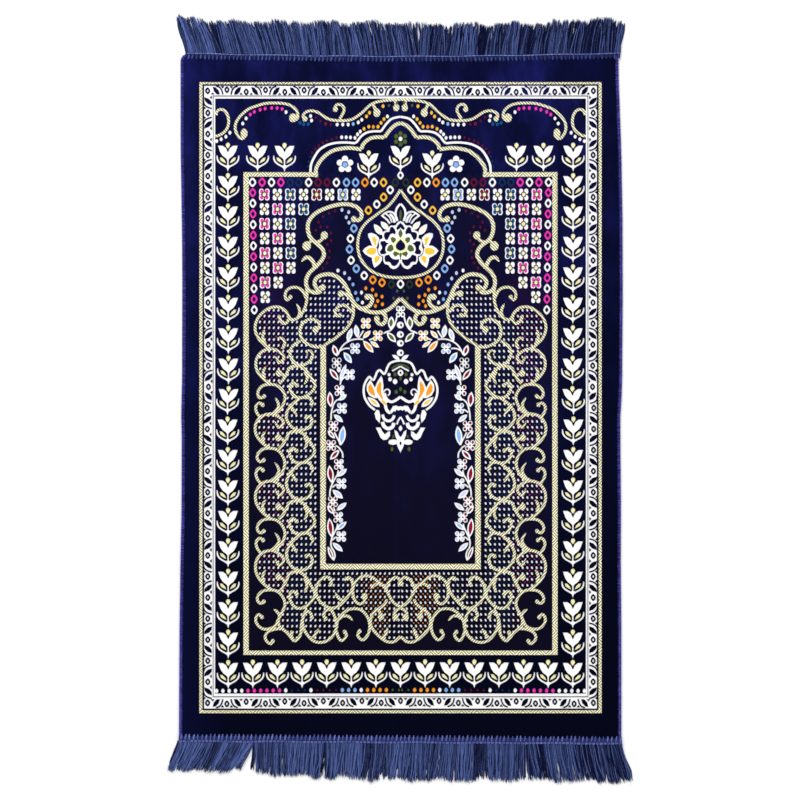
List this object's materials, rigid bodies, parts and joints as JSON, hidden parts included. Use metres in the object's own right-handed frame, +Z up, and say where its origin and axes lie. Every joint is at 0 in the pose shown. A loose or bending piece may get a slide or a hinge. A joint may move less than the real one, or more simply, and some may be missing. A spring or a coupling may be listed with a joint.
{
  "type": "prayer rug",
  "caption": "Flat navy velvet prayer rug with an arched niche pattern in gold and white, overcast sides, and a corded fringe under a woven heading at each end.",
  "frame": {"origin": "centre of the overall outline, on the surface that the rug lies on", "axes": "+Y along the rug's length towards the point of the arch, +X to the right seen from above with the arch away, +Z up"},
  "size_m": [0.687, 1.146, 0.0055],
  "materials": {
    "velvet": "navy pile, short, with a flat woven pattern let into it",
    "edging": "overcast yarn",
    "heading": "woven band with looped edge",
    "fringe": "twisted yarn, slightly shiny",
    "white_yarn": "flat woven",
    "gold_yarn": "flat twill of cream and gold",
    "magenta_yarn": "flat woven",
    "teal_yarn": "flat woven",
    "sky_yarn": "flat woven",
    "red_yarn": "flat woven",
    "orange_yarn": "flat woven",
    "green_yarn": "flat woven",
    "ground": "plain ground weave, seen as the underside"
  },
  "bodies": {
    "root": {"rug": "velvet", "binding_left": "edging", "binding_right": "edging", "heading_top": "heading", "heading_bottom": "heading", "fringe_top": "fringe", "fringe_bottom": "fringe"}
  },
  "joints": []
}
